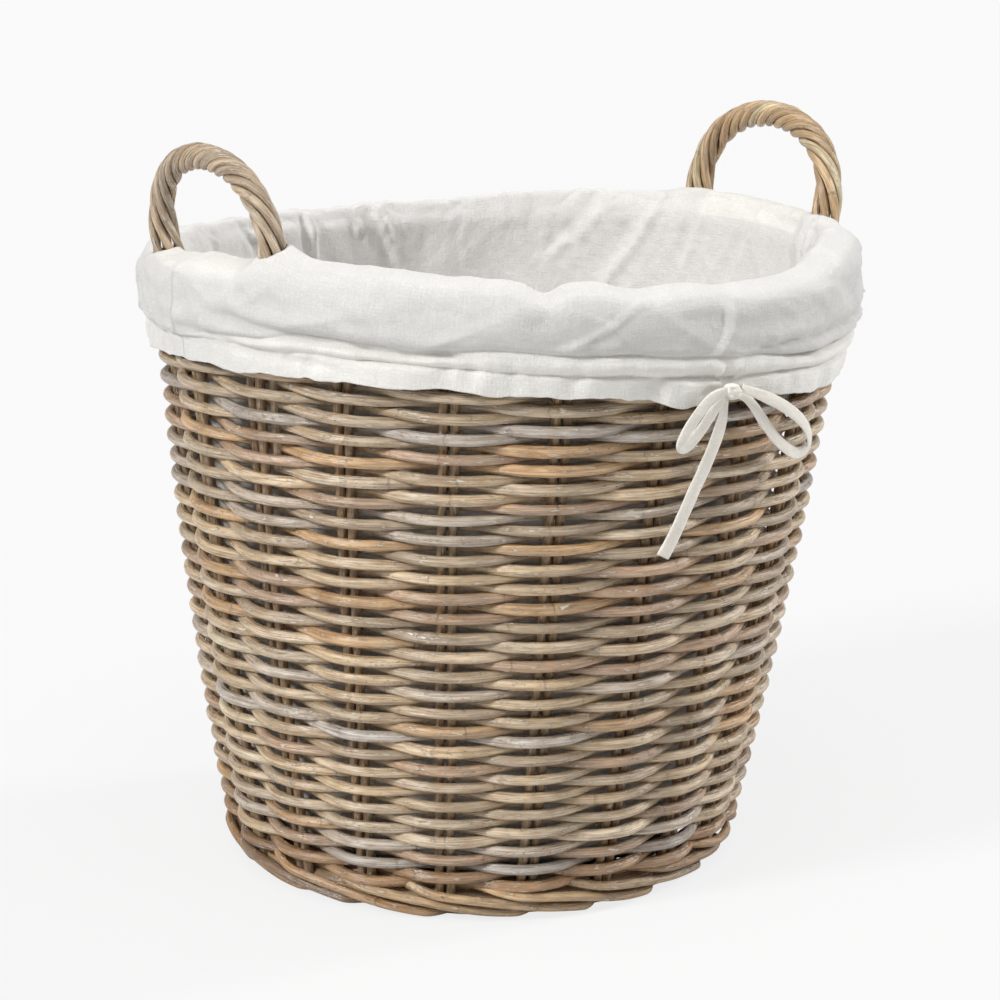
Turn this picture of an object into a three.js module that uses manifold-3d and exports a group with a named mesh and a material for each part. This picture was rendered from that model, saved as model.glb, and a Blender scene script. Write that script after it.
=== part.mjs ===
// A round wicker log basket with two rope-twisted handles and a tied cotton liner.
// Millimetres, +Z up. The handles stand on the X axis, and the basket rests on the plane z = 0.
import * as THREE from 'three';
import { mergeVertices } from 'three/addons/utils/BufferGeometryUtils.js';
import Module from 'manifold-3d';

// ---- Driving dimensions ----
const GAP = 0.3; // between pieces that touch in the real basket

// The wall: the outer face of the weave is a shallow barrel, r = FOOT + FLARE z - BOW z^2.
const FOOT_RADIUS = 181;
const WALL_FLARE = 0.205;
const WALL_BOW = 0.00014;
const BORDER_TOP = 433; // mean height of the woven border's top
const WALL_LEAN = 15.5; // how far the hand-woven rim stands to one side of the foot
const LEAN_DIRECTION = -31; // degrees from +X

// The rim is a gentle saddle, higher where the handles are worked in, and a little higher at one.
const SADDLE_RISE = 6;
const RIM_TILT = 2;
const SADDLE_START = 250; // height where the rows begin to follow the rim

// Canes
const PAIRS = 20; // upright stakes stand in pairs
const FIRST_PAIR = -2.6; // degrees from +X
const STAKE_DIAMETER = 7;
const CANE_DIAMETER = 10;
const COURSES = 8; // each course stands for seven rows of cane

// Foot and base
const FOOT_BORDER_HEIGHT = 26;
const FOOT_BORDER_WIDTH = 26;
const WALE_DIAMETER = 9;
const STICK_DIAMETER = 9;
const STICKS_PER_BUNDLE = 3;
const BASE_MIDDLE = 17; // height of the woven base's middle plane
const BASE_WEAVER = 5;
const BASE_COURSE_RADII = [62, 106, 150];

// Handles
const BORDER_HEIGHT = 19;
const BORDER_WIDTH = 24;
const CORE_DIAMETER = 7;
const STRANDS = 6;
const STRAND_DIAMETER = 4.5;
const STRAND_ORBIT = 7.1; // radius at which the strands wind round the core
const STRAND_TURNS = 4.6; // left-handed, as the lay of the strands runs
const HANDLE_SWELL = 0.16; // the hoop is this much wider at mid-height than at its feet
const HANDLE_LEG = 125; // how deep each leg is pushed down the weave
const ARCH_START = 3; // the strands begin this far above the border
const HANDLE_TOP = 505; // height of the core's middle at the crown
const LEG_BEND = 9; // the legs turn towards the hoop's feet this far below the border's top
// Each leg stands beside a stake pair, at these angles from +X. Above the weave the hoop's feet spread
// to their own angles, and reach out past the stakes.
const HANDLES = [
  { name: 'right', angle: 0, legs: [-17.7, 18.8], feet: [-18.4, 19.6], reach: 5, lean: 9 },
  { name: 'left', angle: 180, legs: [162.9, 199.2], feet: [162.7, 200.9], reach: 3, lean: 5 },
];

// Cotton liner and its drawstring
const CLOTH = 2; // two layers with their seams
const BAG_FLOOR = 27.6;
const COLLAR_CREST = 438;
const COLLAR_BULGE = 8; // how far the collar stands proud of the weave
const HEM_HEIGHT = 366;
const HEM_WAVE = 9; // the hem hangs lower at both sides than at the front
const HEM_TILT = 6; // and lower on the right than on the left
const FRONT = -121; // the basket's front, in degrees from +X
const SLOT_RADIUS = 11.5;
const TAPE_WIDTH = 9.5;
const TAPE_THICKNESS = 1.4;
const CHANNEL_RISE = 21; // from the hem up to the middle of the drawstring's channel
const BOW_ANGLE = -84.8;

// ---- Colours ----
const COLOURS = {
  cane: 0xa58a68,
  stake: 0x8a7052,
  handleCane: 0xb5976c,
  cotton: 0xe9e6df,
  tape: 0xe4dfd4,
};

const basket = new THREE.Group();
const rad = THREE.MathUtils.degToRad;
const wasm = await Module();
wasm.setup();

function material(colour, roughness) {
  return new THREE.MeshStandardMaterial({ color: colour, roughness, metalness: 0 });
}

const caneMaterial = material(COLOURS.cane, 0.6);
const stakeMaterial = material(COLOURS.stake, 0.65);
const handleMaterial = material(COLOURS.handleCane, 0.55);
const cottonMaterial = material(COLOURS.cotton, 0.9);
const tapeMaterial = material(COLOURS.tape, 0.9);

function add(name, geometry, meshMaterial) {
  const mesh = new THREE.Mesh(geometry, meshMaterial);
  mesh.name = name;
  basket.add(mesh);
  return mesh;
}

// ---- The basket's own coordinates ----
function outerRadius(z) {
  return FOOT_RADIUS + WALL_FLARE * z - WALL_BOW * z * z;
}

// The middle of a stake: a cane's thickness inside the weave's outer face.
const STAKE_INSET = STAKE_DIAMETER / 2 + CANE_DIAMETER + 2 * GAP;
function stakeRadius(z) {
  return outerRadius(z) - STAKE_INSET;
}

function rimRise(angle, z) {
  const share = THREE.MathUtils.smoothstep(z, SADDLE_START, BORDER_TOP);
  return share * (SADDLE_RISE * Math.cos(2 * rad(angle)) - RIM_TILT * Math.cos(rad(angle)));
}

// A point at an angle, a distance from the leaning axis, and a height before the rim's saddle.
function wallPoint(angle, radius, z) {
  const shift = (WALL_LEAN * z) / BORDER_TOP;
  return new THREE.Vector3(
    shift * Math.cos(rad(LEAN_DIRECTION)) + radius * Math.cos(rad(angle)),
    shift * Math.sin(rad(LEAN_DIRECTION)) + radius * Math.sin(rad(angle)),
    z + rimRise(angle, z),
  );
}

// ---- Solids ----
// Skins a list of rings of points. A loop joins the last ring to the first; otherwise both ends are
// closed with a fan round the ring's middle.
function loft(rings, loop) {
  const size = rings[0].length;
  const points = rings.flat();
  const index = [];
  const spans = loop ? rings.length : rings.length - 1;
  for (let i = 0; i < spans; i++) {
    const a = i * size;
    const b = ((i + 1) % rings.length) * size;
    for (let j = 0; j < size; j++) {
      const k = (j + 1) % size;
      index.push(a + j, b + j, b + k, a + j, b + k, a + k);
    }
  }
  if (!loop) {
    closeEnd(points, index, rings[0], 0, false);
    closeEnd(points, index, rings.at(-1), (rings.length - 1) * size, true);
  }
  const geometry = new THREE.BufferGeometry().setFromPoints(points);
  geometry.setIndex(signedVolume(points, index) < 0 ? index.reverse() : index);
  geometry.computeVertexNormals();
  return geometry;
}

function closeEnd(points, index, ring, start, last) {
  const middle = new THREE.Vector3();
  ring.forEach((p) => middle.addScaledVector(p, 1 / ring.length));
  const hub = points.push(middle) - 1;
  for (let j = 0; j < ring.length; j++) {
    const here = start + j;
    const next = start + ((j + 1) % ring.length);
    if (last) index.push(hub, next, here);
    else index.push(hub, here, next);
  }
}

function signedVolume(points, index) {
  let volume = 0;
  for (let i = 0; i < index.length; i += 3) {
    const [a, b, c] = [points[index[i]], points[index[i + 1]], points[index[i + 2]]];
    volume += a.dot(new THREE.Vector3().crossVectors(b, c));
  }
  return volume;
}

// A closed ring round the basket: section(angle) gives its outline as [radius, height] pairs.
function hoop(steps, start, section) {
  const rings = [];
  for (let i = 0; i < steps; i++) {
    const angle = start + (360 * i) / steps;
    rings.push(section(angle).map(([r, z]) => wallPoint(angle, r, z)));
  }
  return loft(rings, true);
}

function ellipseSection(radius, z, width, height, sides) {
  const outline = [];
  for (let i = 0; i < sides; i++) {
    const turn = (2 * Math.PI * (i + 0.5)) / sides;
    outline.push([radius + (width / 2) * Math.cos(turn), z + (height / 2) * Math.sin(turn)]);
  }
  return outline;
}

// A round cane along a curve.
function cane(curve, diameter, steps, sides) {
  const section = new THREE.Shape();
  for (let i = 0; i < sides; i++) {
    const turn = (2 * Math.PI * i) / sides;
    const [x, y] = [(diameter / 2) * Math.cos(turn), (diameter / 2) * Math.sin(turn)];
    if (i) section.lineTo(x, y);
    else section.moveTo(x, y);
  }
  return new THREE.ExtrudeGeometry(section, { steps, extrudePath: curve, bevelEnabled: false });
}

function solid(geometry) {
  const bare = geometry.index ? geometry.toNonIndexed() : geometry.clone();
  bare.deleteAttribute('normal');
  bare.deleteAttribute('uv');
  const merged = mergeVertices(bare, 1e-3);
  return new wasm.Manifold(
    new wasm.Mesh({
      numProp: 3,
      vertProperties: merged.attributes.position.array,
      triVerts: new Uint32Array(merged.index.array),
    }),
  );
}

function subtract(geometry, cutters) {
  const left = cutters.reduce((body, cutter) => body.subtract(solid(cutter)), solid(geometry));
  const mesh = left.getMesh();
  const result = new THREE.BufferGeometry();
  result.setAttribute('position', new THREE.BufferAttribute(mesh.vertProperties, 3));
  result.setIndex(new THREE.BufferAttribute(mesh.triVerts, 1));
  result.computeVertexNormals();
  return result;
}

const numbered = (stem, i) => stem + '_' + String(i + 1).padStart(2, '0');

// Evenly spaced heights, both ends included.
function spread(low, high, count) {
  return Array.from({ length: count }, (_, i) => low + ((high - low) * i) / (count - 1));
}

// ---- Base: two crossed bundles of sticks, fanned into spokes and woven round ----
function stickCurve(index, bundleAngle, crossingHeight) {
  const side = index - (STICKS_PER_BUNDLE - 1) / 2;
  const fan = rad((180 / (2 * STICKS_PER_BUNDLE)) * side);
  const offset = side * (STICK_DIAMETER + GAP);
  const reach = BASE_COURSE_RADII.at(-1) + 4;
  const half = [
    [12, offset, crossingHeight],
    [28, offset * 1.25, crossingHeight],
    [62 * Math.cos(fan), 62 * Math.sin(fan), BASE_MIDDLE],
    [106 * Math.cos(fan), 106 * Math.sin(fan), BASE_MIDDLE],
    [reach * Math.cos(fan), reach * Math.sin(fan), BASE_MIDDLE],
  ];
  const points = [...half.map(([x, y, z]) => [-x, y, z]).reverse(), ...half];
  const turn = new THREE.Matrix4().makeRotationZ(rad(bundleAngle));
  return new THREE.CatmullRomCurve3(
    points.map(([x, y, z]) => new THREE.Vector3(x, y, z).applyMatrix4(turn)),
    false,
    'centripetal',
  );
}

function makeBaseSticks() {
  const lift = (STICK_DIAMETER + GAP) / 2;
  for (let i = 0; i < STICKS_PER_BUNDLE; i++) {
    const lower = stickCurve(i, 0, BASE_MIDDLE - lift);
    const upper = stickCurve(i, 90, BASE_MIDDLE + lift);
    add(numbered('base_stick_lower', i), cane(lower, STICK_DIAMETER, 20, 6), stakeMaterial);
    add(numbered('base_stick_upper', i), cane(upper, STICK_DIAMETER, 20, 6), stakeMaterial);
  }
}

// The over and under of a weaver past its stakes: flat in front of and behind each one.
function weaveWave(phase) {
  return THREE.MathUtils.clamp(1.5 * Math.cos(phase), -1, 1);
}

function makeBaseCourses() {
  const spokes = 4 * STICKS_PER_BUNDLE;
  const travel = (STICK_DIAMETER + BASE_WEAVER) / 2 + 2 * GAP;
  for (let i = 0; i + 1 < BASE_COURSE_RADII.length; i++) {
    const inner = BASE_COURSE_RADII[i] + GAP;
    const outer = BASE_COURSE_RADII[i + 1] - GAP;
    const geometry = hoop(4 * spokes, 0, (angle) => {
      const z = BASE_MIDDLE + travel * weaveWave((rad(angle) * spokes) / 2 + i * Math.PI);
      const [low, high] = [z - BASE_WEAVER / 2, z + BASE_WEAVER / 2];
      return [[inner, low], [outer, low], [outer, high], [inner, high]];
    });
    add(numbered('base_course', i), geometry, caneMaterial);
  }
}

// ---- Foot: a rolled border with a flat tread, and one row of wale above it ----
function makeFoot() {
  const outer = FOOT_RADIUS + 2;
  const inner = outer - FOOT_BORDER_WIDTH;
  const top = FOOT_BORDER_HEIGHT;
  const border = hoop(60, 0, () => [
    [inner + 4, 0],
    [outer - 9, 0],
    [outer - 2, top * 0.25],
    [outer, top * 0.55],
    [outer - 4, top],
    [inner + 2, top],
    [inner, top * 0.7],
    [inner, top * 0.2],
  ]);
  add('foot_border', border, caneMaterial);
  const z = FOOT_BORDER_HEIGHT + WALE_DIAMETER / 2 + GAP;
  const radius = stakeRadius(z) + (STAKE_DIAMETER + WALE_DIAMETER) / 2 + 2 * GAP;
  const wale = hoop(60, 0, () => ellipseSection(radius, z, WALE_DIAMETER, WALE_DIAMETER, 5));
  add('bottom_wale', wale, caneMaterial);
}

// ---- Wall ----
const COURSES_START = FOOT_BORDER_HEIGHT + WALE_DIAMETER + 2 * GAP;
const COURSES_END = BORDER_TOP - BORDER_HEIGHT - 3 * GAP;
const COURSE_HEIGHT = (COURSES_END - COURSES_START) / COURSES;

function makeStakePairs() {
  const half = STAKE_DIAMETER / 2;
  const outline = [
    [-half, -half], [0, -half * 0.6], [half, -half], [2 * half - 0.2, 0],
    [half, half], [0, half * 0.6], [-half, half], [-2 * half + 0.2, 0],
  ];
  const bottom = FOOT_BORDER_HEIGHT + GAP;
  const levels = spread(bottom, COURSES_END, 5);
  for (let i = 0; i < PAIRS; i++) {
    const angle = FIRST_PAIR + (360 / PAIRS) * i;
    const along = new THREE.Vector3(-Math.sin(rad(angle)), Math.cos(rad(angle)), 0);
    const rings = levels.map((z) =>
      outline.map(([across, out]) =>
        wallPoint(angle, stakeRadius(z) + out, z).addScaledVector(along, across),
      ),
    );
    add(numbered('stake_pair', i), loft(rings, false), stakeMaterial);
  }
}

// Each course is a band that passes outside one stake pair and inside the next.
function makeWallCourses() {
  const travel = (STAKE_DIAMETER + CANE_DIAMETER) / 2 + GAP;
  const half = CANE_DIAMETER / 2;
  for (let i = 0; i < COURSES; i++) {
    const low = COURSES_START + i * COURSE_HEIGHT + GAP / 2;
    const high = low + COURSE_HEIGHT - GAP;
    const geometry = hoop(4 * PAIRS, FIRST_PAIR, (angle) => {
      const phase = (rad(angle - FIRST_PAIR) * PAIRS) / 2 + i * Math.PI;
      const wave = travel * weaveWave(phase);
      const [below, above] = [stakeRadius(low) + wave, stakeRadius(high) + wave];
      return [[below - half, low], [below + half, low], [above + half, high], [above - half, high]];
    });
    add(numbered('wall_course', i), geometry, caneMaterial);
  }
}

// ---- Handles: a core rod pushed down the weave, wound with six strands ----
function handleFeet(handle) {
  const z = BORDER_TOP + ARCH_START;
  return handle.feet.map((angle) => wallPoint(angle, stakeRadius(z) + handle.reach, z));
}

// The arch above the border, t from 0 at one foot to 1 at the other.
function archPoint(handle, t) {
  const feet = handleFeet(handle);
  const middle = feet[0].clone().add(feet[1]).multiplyScalar(0.5);
  const chord = feet[1].clone().sub(feet[0]).multiplyScalar(0.5);
  const up = new THREE.Vector3(Math.sin(rad(handle.lean)), 0, Math.cos(rad(handle.lean)));
  up.applyAxisAngle(new THREE.Vector3(0, 0, 1), rad(handle.angle));
  const rise = (HANDLE_TOP - middle.z) / up.z;
  const turn = Math.PI * t;
  const swell = 1 + HANDLE_SWELL * Math.sin(turn);
  return middle.addScaledVector(chord, -Math.cos(turn) * swell).addScaledVector(up, rise * Math.sin(turn));
}

// A leg from its buried end up to its bend, a third of the way across to the hoop's foot.
function legPoints(handle, side) {
  const straight = spread(HANDLE_LEG, BORDER_HEIGHT, 4).map((depth) => {
    const z = BORDER_TOP - depth;
    return wallPoint(handle.legs[side], stakeRadius(z), z);
  });
  const z = BORDER_TOP - LEG_BEND;
  const bend = wallPoint(
    (handle.legs[side] * 2 + handle.feet[side]) / 3,
    stakeRadius(z) + handle.reach / 3,
    z,
  );
  return [...straight, bend];
}

function coreCurve(handle) {
  const arch = [];
  for (let i = 0; i <= 16; i++) arch.push(archPoint(handle, i / 16));
  const route = [...legPoints(handle, 0), ...arch, ...legPoints(handle, 1).reverse()];
  return new THREE.CatmullRomCurve3(route, false, 'centripetal');
}

class StrandCurve extends THREE.Curve {
  constructor(handle, index) {
    super();
    this.handle = handle;
    this.start = (2 * Math.PI * index) / STRANDS;
  }

  getPoint(t, target = new THREE.Vector3()) {
    const step = 1e-3;
    const here = archPoint(this.handle, t);
    const ahead = archPoint(this.handle, t + step).sub(archPoint(this.handle, t - step)).normalize();
    const outOfPlane = new THREE.Vector3(1, 0, 0);
    outOfPlane.applyAxisAngle(new THREE.Vector3(0, 0, 1), rad(this.handle.angle));
    outOfPlane.addScaledVector(ahead, -outOfPlane.dot(ahead)).normalize();
    const across = new THREE.Vector3().crossVectors(ahead, outOfPlane);
    const turn = this.start - 2 * Math.PI * STRAND_TURNS * t;
    return target
      .copy(here)
      .addScaledVector(outOfPlane, STRAND_ORBIT * Math.cos(turn))
      .addScaledVector(across, STRAND_ORBIT * Math.sin(turn));
  }
}

function makeHandles() {
  for (const handle of HANDLES) {
    const core = cane(coreCurve(handle), CORE_DIAMETER, 44, 6);
    add('handle_core_' + handle.name, core, handleMaterial);
    for (let i = 0; i < STRANDS; i++) {
      const strand = cane(new StrandCurve(handle, i), STRAND_DIAMETER, 34, 5);
      add(numbered('handle_strand_' + handle.name, i), strand, handleMaterial);
    }
  }
}

// ---- Rim border: the stakes' ends turned down and woven into a thick edge ----
function legCutters(diameter) {
  return HANDLES.map((handle) => cane(coreCurve(handle), diameter, 44, 8));
}

function makeRimBorder() {
  const z = BORDER_TOP - BORDER_HEIGHT / 2;
  const ring = hoop(48, 0, () => ellipseSection(stakeRadius(z), z, BORDER_WIDTH, BORDER_HEIGHT, 6));
  add('rim_border', subtract(ring, legCutters(CORE_DIAMETER + 2 * GAP)), caneMaterial);
}

// ---- Cotton liner: a bag inside the wall, and a collar turned over the border ----
const INNER_FACE = CANE_DIAMETER + STAKE_DIAMETER / 2 + 4 * GAP;

function makeLinerBag() {
  const levels = spread(BAG_FLOOR + 14, BORDER_TOP - 6, 7);
  const outside = levels.map((z) => [stakeRadius(z) - INNER_FACE, z]);
  const inside = levels.map((z) => [stakeRadius(z) - INNER_FACE - CLOTH, z]).reverse();
  const floorRadius = BASE_COURSE_RADII.at(-1);
  const profile = [
    [floorRadius, BAG_FLOOR],
    ...outside,
    ...inside,
    [floorRadius - CLOTH, BAG_FLOOR + CLOTH],
  ];
  const rings = profile.map(([r, z]) => {
    const ring = [];
    for (let i = 0; i < 40; i++) ring.push(wallPoint(9 * i, r, z));
    return ring;
  });
  add('liner_bag', loft(rings, false), cottonMaterial);
}

function hemHeight(angle) {
  const turn = rad(angle - FRONT);
  return HEM_HEIGHT + HEM_WAVE * Math.cos(2 * turn) - HEM_TILT * Math.sin(turn);
}

// The collar's side towards the weave, from inside the rim, over the border and down to the hem.
function collarPath(angle) {
  const hem = hemHeight(angle);
  const top = stakeRadius(COLLAR_CREST);
  const waist = hem + CHANNEL_RISE;
  return [
    [top - INNER_FACE - 0.5, BORDER_TOP - 5],
    [top - BORDER_WIDTH / 2, BORDER_TOP + 1.5],
    [top, COLLAR_CREST - CLOTH],
    [top + BORDER_WIDTH / 2, BORDER_TOP + 1],
    [outerRadius(412) + COLLAR_BULGE - CLOTH, 412],
    [outerRadius(waist + 10) + COLLAR_BULGE - CLOTH, waist + 10],
    [outerRadius(waist) + 5.5, waist],
    [outerRadius(hem) + 1.6, hem],
  ];
}

function makeLinerCollar() {
  const shell = hoop(48, 0, (angle) => {
    const near = collarPath(angle);
    const far = near.map(([r, z], i) => {
      const share = i / (near.length - 1);
      const lift = share < 0.5 ? CLOTH : 0;
      const push = share < 0.15 ? -CLOTH : share > 0.4 ? CLOTH : 0;
      return [r + push, z + lift];
    });
    return [...near, ...far.reverse()];
  });
  add('liner_collar', subtract(shell, legCutters(2 * SLOT_RADIUS)), cottonMaterial);
}

// ---- Drawstring: a flat tape in the collar's channel, tied in a bow outside it ----
function makeDrawstringBand() {
  const geometry = hoop(60, 0, (angle) => {
    const level = hemHeight(angle) + CHANNEL_RISE;
    const inner = outerRadius(level) + 3 * GAP;
    return [
      [inner, level - TAPE_WIDTH / 2],
      [inner + TAPE_THICKNESS, level - TAPE_WIDTH / 2],
      [inner + TAPE_THICKNESS, level + TAPE_WIDTH / 2],
      [inner, level + TAPE_WIDTH / 2],
    ];
  });
  add('drawstring_band', geometry, tapeMaterial);
}

// Each route is a list of [degrees round from the bow, distance off the weave, height].
const KNOT = [0, 16, 372];
const LOOP_LEFT = [
  [-1.4, 16, 369], [-3.4, 16, 363], [-5.4, 15.5, 356], [-7, 14.5, 349], [-8, 13, 343],
  [-8.8, 10.5, 340], [-9.3, 8.5, 342], [-8.6, 8.4, 349], [-6.6, 9.4, 358], [-4.2, 11, 365], [-2, 12, 369],
];
const LOOP_RIGHT = [
  [1.8, 15, 371], [5.4, 15, 368], [9.6, 15, 363], [13.6, 15, 356], [17.2, 14.5, 348],
  [20, 13, 339], [21, 10.5, 330], [19.6, 8, 325], [16.6, 7.5, 327], [13.4, 7.8, 335],
  [10.2, 8.6, 345], [7, 9.8, 355], [4, 11, 363], [1.6, 11.8, 368],
];
const TAIL = [
  [-0.7, 9.6, 365], [-1, 9, 359], [-1.2, 8.4, 350], [-1.5, 7.8, 340], [-1.9, 7.2, 328], [-2.7, 6.6, 315],
  [-3.7, 6.3, 302], [-4.9, 6, 289], [-6.2, 6, 275], [-7.6, 6, 261],
];

function tapePoint([turn, off, z]) {
  return wallPoint(BOW_ANGLE + turn, outerRadius(z) + off, z);
}

// A flat tape along a route, its width kept upright to the weave's face.
function tape(route, steps) {
  const curve = new THREE.CatmullRomCurve3(route.map(tapePoint), false, 'centripetal');
  const rings = [];
  for (let i = 0; i <= steps; i++) {
    const point = curve.getPointAt(i / steps);
    const ahead = curve.getTangentAt(i / steps);
    const outward = new THREE.Vector3(point.x, point.y, 0).normalize();
    const across = new THREE.Vector3().crossVectors(outward, ahead).normalize();
    const normal = new THREE.Vector3().crossVectors(ahead, across);
    const ring = [];
    for (let j = 0; j < 8; j++) {
      const turn = (2 * Math.PI * (j + 0.5)) / 8;
      const wide = point.clone().addScaledVector(across, (TAPE_WIDTH / 2) * Math.cos(turn));
      ring.push(wide.addScaledVector(normal, TAPE_THICKNESS * 0.6 * Math.sin(turn)));
    }
    rings.push(ring);
  }
  return loft(rings, false);
}

function makeBow() {
  const knot = new THREE.IcosahedronGeometry(7, 1);
  knot.scale(0.75, 0.62, 0.95);
  const mesh = add('drawstring_knot', knot, tapeMaterial);
  mesh.position.copy(tapePoint(KNOT));
  add('drawstring_loop_left', tape(LOOP_LEFT, 16), tapeMaterial);
  add('drawstring_loop_right', tape(LOOP_RIGHT, 22), tapeMaterial);
  add('drawstring_tail', tape(TAIL, 14), tapeMaterial);
}

makeBaseSticks();
makeBaseCourses();
makeFoot();
makeStakePairs();
makeWallCourses();
makeHandles();
makeRimBorder();
makeLinerBag();
makeLinerCollar();
makeDrawstringBand();
makeBow();

// The origin is the middle of the basket's own box, on the floor. The bow doesn't count.
const box = new THREE.Box3();
for (const mesh of basket.children) {
  if (!/drawstring_(knot|loop|tail)/.test(mesh.name)) box.expandByObject(mesh);
}
const middle = box.getCenter(new THREE.Vector3());
basket.position.set(-middle.x, -middle.y, -box.min.z);

export default basket;
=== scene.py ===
"""A lined wicker log basket: woven canes, twisted handles, a cotton liner and its tape bow.

Everything is in metres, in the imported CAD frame. The wall's formulas and the handles' arches repeat
the CAD part's, and the wall's axis comes from the frame's box of the foot. The canes, the cloth's
folds and the tape's routes are finer than the CAD's.
"""
import math
import random

import bpy
import numpy as np
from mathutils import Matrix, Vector


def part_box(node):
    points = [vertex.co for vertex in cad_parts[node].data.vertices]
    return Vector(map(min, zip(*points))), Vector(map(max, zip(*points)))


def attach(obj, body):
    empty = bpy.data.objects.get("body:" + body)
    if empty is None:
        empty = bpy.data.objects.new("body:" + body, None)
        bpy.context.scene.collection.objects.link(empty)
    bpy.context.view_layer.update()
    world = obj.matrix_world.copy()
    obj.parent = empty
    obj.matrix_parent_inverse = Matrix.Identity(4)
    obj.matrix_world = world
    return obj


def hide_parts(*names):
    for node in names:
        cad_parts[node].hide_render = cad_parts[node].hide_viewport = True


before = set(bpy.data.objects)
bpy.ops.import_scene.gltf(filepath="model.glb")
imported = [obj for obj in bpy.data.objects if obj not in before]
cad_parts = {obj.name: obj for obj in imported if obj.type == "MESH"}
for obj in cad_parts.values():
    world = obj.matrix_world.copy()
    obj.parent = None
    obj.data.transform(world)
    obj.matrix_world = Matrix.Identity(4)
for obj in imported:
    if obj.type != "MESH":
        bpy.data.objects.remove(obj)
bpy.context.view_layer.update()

# ---- Driving dimensions, as in the CAD part ----
FOOT_RADIUS = 0.181
WALL_FLARE = 0.205
WALL_BOW = 0.14
BORDER_TOP = 0.433
BORDER_HEIGHT = 0.019
WALL_LEAN = 0.0155
LEAN_DIRECTION = math.radians(-31)
SADDLE_RISE = 0.006
RIM_TILT = 0.002
SADDLE_START = 0.250
PAIRS = 20
PAIR_PITCH = 360 / PAIRS
FIRST_PAIR = -2.6
STAKE_DIAMETER = 0.0064
STAKE_INSET = 0.0141
COURSES = 8
COURSES_START = 0.0356
COURSES_END = 0.4131
FOOT_BORDER_HEIGHT = 0.026
COLLAR_CREST = 0.438
HEM_HEIGHT = 0.366
HEM_WAVE = 0.009
HEM_TILT = 0.006
FRONT = -121
BOW_ANGLE = -84.8
TAPE_WIDTH = 0.0095

# ---- Dimensions of the fine work ----
ROWS_PER_COURSE = 7
CANE_HALF = 0.0037  # half the height of a weaver where it passes a stake pair
CROSSING_HALF = 0.0034  # and where it passes between its neighbours
CANE_TRAVEL = 0.0072  # how far a weaver moves in and out from the stakes' line
WEAVE_OUT = 0.0024  # the fine weave is thinner than the CAD bands, and lies against their outside
STEPS_PER_PAIR = 22
CANE_SIDES = 12
END_SHARE = 0.12  # how far a weaver goes on past the stakes that hide its ends, as a share of the pitch
FRILL = 0.0152  # the cloth's height below the drawstring's channel
CHANNEL = 0.012

rng = random.Random(7)


# ---- Noise and small maths ----
def noise3(points, seed=0):
    """Smooth noise from -1 to 1 at each point, with one cell to a unit."""
    cell = np.floor(points).astype(np.int64)
    part = points - cell
    part = part * part * (3 - 2 * part)
    total = np.zeros(points.shape[:-1])
    for corner in np.ndindex(2, 2, 2):
        c = cell + np.array(corner)
        mixed = (c[..., 0] * 73856093) ^ (c[..., 1] * 19349663) ^ (c[..., 2] * 83492791) ^ (seed * 9176)
        mixed = (mixed ^ (mixed >> 13)) * 1274126177
        value = ((mixed ^ (mixed >> 16)) & 0xFFFF) / 32767.5 - 1
        total += value * np.prod(np.where(corner, part, 1 - part), axis=-1)
    return total


def stacked(*parts):
    return np.stack(np.broadcast_arrays(*parts), -1)


def line_noise(x, seed):
    """Smooth noise along a line, with one cell to a unit."""
    return noise3(stacked(x, 0.37, 0.61), seed)


def ring_noise(phi, z, cell, height, seed):
    """Smooth noise round the basket, with cells of so many degrees and so high, and no seam."""
    turn = np.radians(phi)
    reach = math.degrees(1) / cell
    return noise3(stacked(reach * np.cos(turn), reach * np.sin(turn), z / height), seed)


def smoothstep(x, low, high):
    t = np.clip((x - low) / (high - low), 0, 1)
    return t * t * (3 - 2 * t)


def bell(x, middle, width):
    return np.exp(-(((x - middle) / width) ** 2))


def unit(v):
    return v / np.maximum(np.linalg.norm(v, axis=-1, keepdims=True), 1e-12)


def square_to(ahead, v):
    """The directions v, turned square to the directions ahead."""
    return unit(v - np.sum(v * ahead, -1, keepdims=True) * ahead)


def heading(path):
    return unit(np.gradient(path, axis=0))


def turned(angle):
    """An angle in degrees, brought to the range from -180 to 180."""
    return (np.asarray(angle) + 180) % 360 - 180


def run_along(path):
    """The distance along a path to each of its points."""
    return np.concatenate([[0], np.cumsum(np.linalg.norm(np.diff(path, axis=0), axis=1))])


def curve_between(a, b, c, d, t):
    """A smooth curve from b to c, with t from 0 to 1, where a comes before them and d after."""
    line = 2 * b + (c - a) * t
    line += (2 * a - 5 * b + 4 * c - d) * t**2
    return 0.5 * (line + (3 * b - a - 3 * c + d) * t**3)


def spline(points, count):
    """A smooth line through the points, sampled at count even steps of its length."""
    p = np.array(points, float)
    p = np.vstack([2 * p[0] - p[1], p, 2 * p[-1] - p[-2]])
    fine = []
    for i in range(1, len(p) - 2):
        t = np.linspace(0, 1, 24, endpoint=False)[:, None]
        fine.append(curve_between(*p[i - 1 : i + 3], t))
    fine = np.vstack([*fine, p[-2:-1]])
    run = run_along(fine)
    at = np.linspace(0, run[-1], count)
    return np.stack([np.interp(at, run, fine[:, k]) for k in range(fine.shape[1])], -1)


def linear(*screen):
    """A screen colour, each part from 11 to 255, as the linear colour that shaders take."""
    return tuple(((c / 255 + 0.055) / 1.055) ** 2.4 for c in screen)


# ---- The basket's own coordinates ----
FOOT_LOW, FOOT_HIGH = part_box("foot_border")
FOOT_WIDEST = 0.55 * FOOT_BORDER_HEIGHT
LEAN = np.array([math.cos(LEAN_DIRECTION), math.sin(LEAN_DIRECTION)])
AXIS = np.array([(FOOT_LOW[k] + FOOT_HIGH[k]) / 2 for k in (0, 1)])
AXIS -= WALL_LEAN * FOOT_WIDEST / BORDER_TOP * LEAN


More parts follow.
